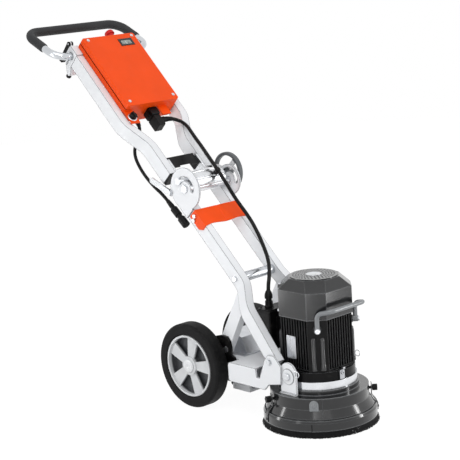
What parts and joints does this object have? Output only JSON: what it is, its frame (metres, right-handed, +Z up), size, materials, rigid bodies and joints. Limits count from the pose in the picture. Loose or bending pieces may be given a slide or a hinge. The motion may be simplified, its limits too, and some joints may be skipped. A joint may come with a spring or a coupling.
{
  "type": "walk-behind floor grinder",
  "caption": "Walk-behind disc floor grinder with an upright motor over a brushed dust skirt, large rear wheels, a folding tube frame, a control box and a tilting handlebar.",
  "frame": {"origin": "on the floor, in the middle of the machine's length and width", "axes": "+X forward towards the grinding head, +Y to the operator's left, +Z up"},
  "size_m": [1.172, 0.392, 1.099],
  "materials": {
    "rail_paint": "satin powder coat, nearly white",
    "orange_paint": "semi-gloss powder coat",
    "anthracite_paint": "satin powder coat",
    "black_paint": "satin",
    "bare_aluminium": "machined",
    "zinc_steel": "zinc plated",
    "bearing_steel": "ground",
    "chrome_tube": "polished",
    "grip_foam": "closed-cell foam",
    "tyre_rubber": "matt",
    "rim_plastic": "moulded",
    "black_plastic": "moulded",
    "meter_plastic": "gloss",
    "red_plastic": "gloss",
    "seal_rubber": "matt",
    "cable_rubber": "matt",
    "stator_steel": "laminated",
    "segment_metal": "sintered",
    "brush_nylon": "bristle"
  },
  "bodies": {
    "chassis": {"lower_rails": "rail_paint", "hinge_cheeks": "rail_paint", "cross_band": "orange_paint", "chassis_tray": "rail_paint", "chassis_braces": "rail_paint", "frame_bolts": "zinc_steel", "axle_carrier": "black_paint", "wheel_bearings": "bearing_steel", "dust_port": "black_plastic", "motor_cable_lower": "cable_rubber", "supply_plug": "black_plastic"},
    "wheel_right": {"tyre_right": "tyre_rubber", "rim_right": "rim_plastic"},
    "wheel_left": {"tyre_left": "tyre_rubber", "rim_left": "rim_plastic"},
    "upper_frame": {"upper_rails": "rail_paint", "hinge_drum": "bare_aluminium", "clamp_rod": "zinc_steel", "rail_cross_plate": "anthracite_paint", "control_box": "orange_paint", "control_lid": "orange_paint", "lid_gasket": "seal_rubber", "lid_screws": "zinc_steel", "hour_meter": "meter_plastic", "power_module": "black_plastic", "cable_connector": "black_plastic", "supply_gland": "black_plastic", "bar_clamps": "rail_paint", "motor_cable_upper": "cable_rubber", "supply_lead": "cable_rubber"},
    "handlebar": {"handlebar_tube": "chrome_tube", "handlebar_grip": "grip_foam"},
    "clamp_lever_right": {"clamp_lever_right": "black_plastic"},
    "clamp_lever_left": {"clamp_lever_left": "black_plastic"},
    "estop_button": {"estop_button": "red_plastic"},
    "start_switch": {"start_switch": "black_plastic"},
    "fold_latch": {"fold_latch": "zinc_steel"},
    "handwheel": {"handwheel": "black_plastic"},
    "head": {"motor_body": "black_paint", "motor_stator": "stator_steel", "motor_bearings": "bearing_steel", "fan_cover": "anthracite_paint", "fan_grille": "anthracite_paint", "terminal_box": "black_plastic", "motor_gland": "black_plastic", "adapter_ring": "bare_aluminium", "shroud": "anthracite_paint", "lift_handle": "anthracite_paint", "head_brackets": "rail_paint", "head_fasteners": "zinc_steel"},
    "spindle": {"rotor_shaft": "bearing_steel", "cooling_fan": "black_plastic", "tool_plate": "black_paint", "diamond_segments": "segment_metal"},
    "skirt": {"skirt_ring": "anthracite_paint", "skirt_brush": "brush_nylon"},
    "skirt_knob_right": {"skirt_knob_right": "black_plastic"},
    "skirt_knob_left": {"skirt_knob_left": "black_plastic"},
    "quick_pin_right": {"quick_pin_right": "zinc_steel"},
    "quick_pin_left": {"quick_pin_left": "zinc_steel"}
  },
  "joints": [
    {"name": "wheel_right_spin", "type": "hinge", "parent": "chassis", "child": "wheel_right", "pos_m": [0.041, 0, 0.125], "axis": [0, 1, 0], "continuous": true},
    {"name": "wheel_left_spin", "type": "hinge", "parent": "chassis", "child": "wheel_left", "pos_m": [0.041, 0, 0.125], "axis": [0, 1, 0], "continuous": true},
    {"name": "fold", "type": "hinge", "parent": "chassis", "child": "upper_frame", "pos_m": [0.0131, 0, 0.6358], "axis": [0, 1, 0], "range_deg": [0, 135], "deforming": ["motor_cable_upper", "supply_lead"]},
    {"name": "handlebar_tilt", "type": "hinge", "parent": "upper_frame", "child": "handlebar", "pos_m": [-0.42213, 0, 1.01374], "axis": [0, 1, 0], "range_deg": [-35, 45]},
    {"name": "clamp_lever_right_open", "type": "hinge", "parent": "upper_frame", "child": "clamp_lever_right", "pos_m": [-0.43768, 0, 1.0491], "axis": [0, 1, 0], "range_deg": [0, 100]},
    {"name": "clamp_lever_left_open", "type": "hinge", "parent": "upper_frame", "child": "clamp_lever_left", "pos_m": [-0.43768, 0, 1.0491], "axis": [0, 1, 0], "range_deg": [0, 100]},
    {"name": "estop_press", "type": "slide", "parent": "upper_frame", "child": "estop_button", "axis": [0.7071, 0, -0.7071], "range_m": [0, 0.005], "stiffness_N_per_m": 1500},
    {"name": "switch_turn", "type": "hinge", "parent": "upper_frame", "child": "start_switch", "pos_m": [-0.20788, -0.087, 0.82778], "axis": [0.7071, 0, 0.7071], "range_deg": [0, 90]},
    {"name": "handwheel_turn", "type": "hinge", "parent": "upper_frame", "child": "handwheel", "pos_m": [-0.00812, 0, 0.65701], "axis": [0, 1, 0], "continuous": true},
    {"name": "latch_swing", "type": "hinge", "parent": "chassis", "child": "fold_latch", "pos_m": [-0.0509, 0, 0.61989], "axis": [0, 1, 0], "range_deg": [-80, 0]},
    {"name": "head_tilt", "type": "hinge", "parent": "chassis", "child": "head", "pos_m": [0.421, 0, 0.155], "axis": [0, 1, 0], "range_deg": [-4, 4], "deforming": ["motor_cable_lower"]},
    {"name": "spindle_spin", "type": "hinge", "parent": "head", "child": "spindle", "pos_m": [0.421, 0, 0.1], "axis": [0, 0, 1], "continuous": true},
    {"name": "skirt_float", "type": "slide", "parent": "head", "child": "skirt", "axis": [0, 0, 1], "range_m": [0, 0.01]},
    {"name": "skirt_knob_right_turn", "type": "hinge", "parent": "head", "child": "skirt_knob_right", "pos_m": [0.36406, -0.1279, 0.084], "axis": [-0.4067, -0.9135, 0], "continuous": true},
    {"name": "skirt_knob_left_turn", "type": "hinge", "parent": "head", "child": "skirt_knob_left", "pos_m": [0.51648, 0.10239, 0.084], "axis": [0.682, 0.7314, 0], "continuous": true},
    {"name": "quick_pin_right_pull", "type": "slide", "parent": "head", "child": "quick_pin_right", "axis": [0, -1, 0], "range_m": [0, 0.025]},
    {"name": "quick_pin_left_pull", "type": "slide", "parent": "head", "child": "quick_pin_left", "axis": [0, 1, 0], "range_m": [0, 0.025]}
  ]
}
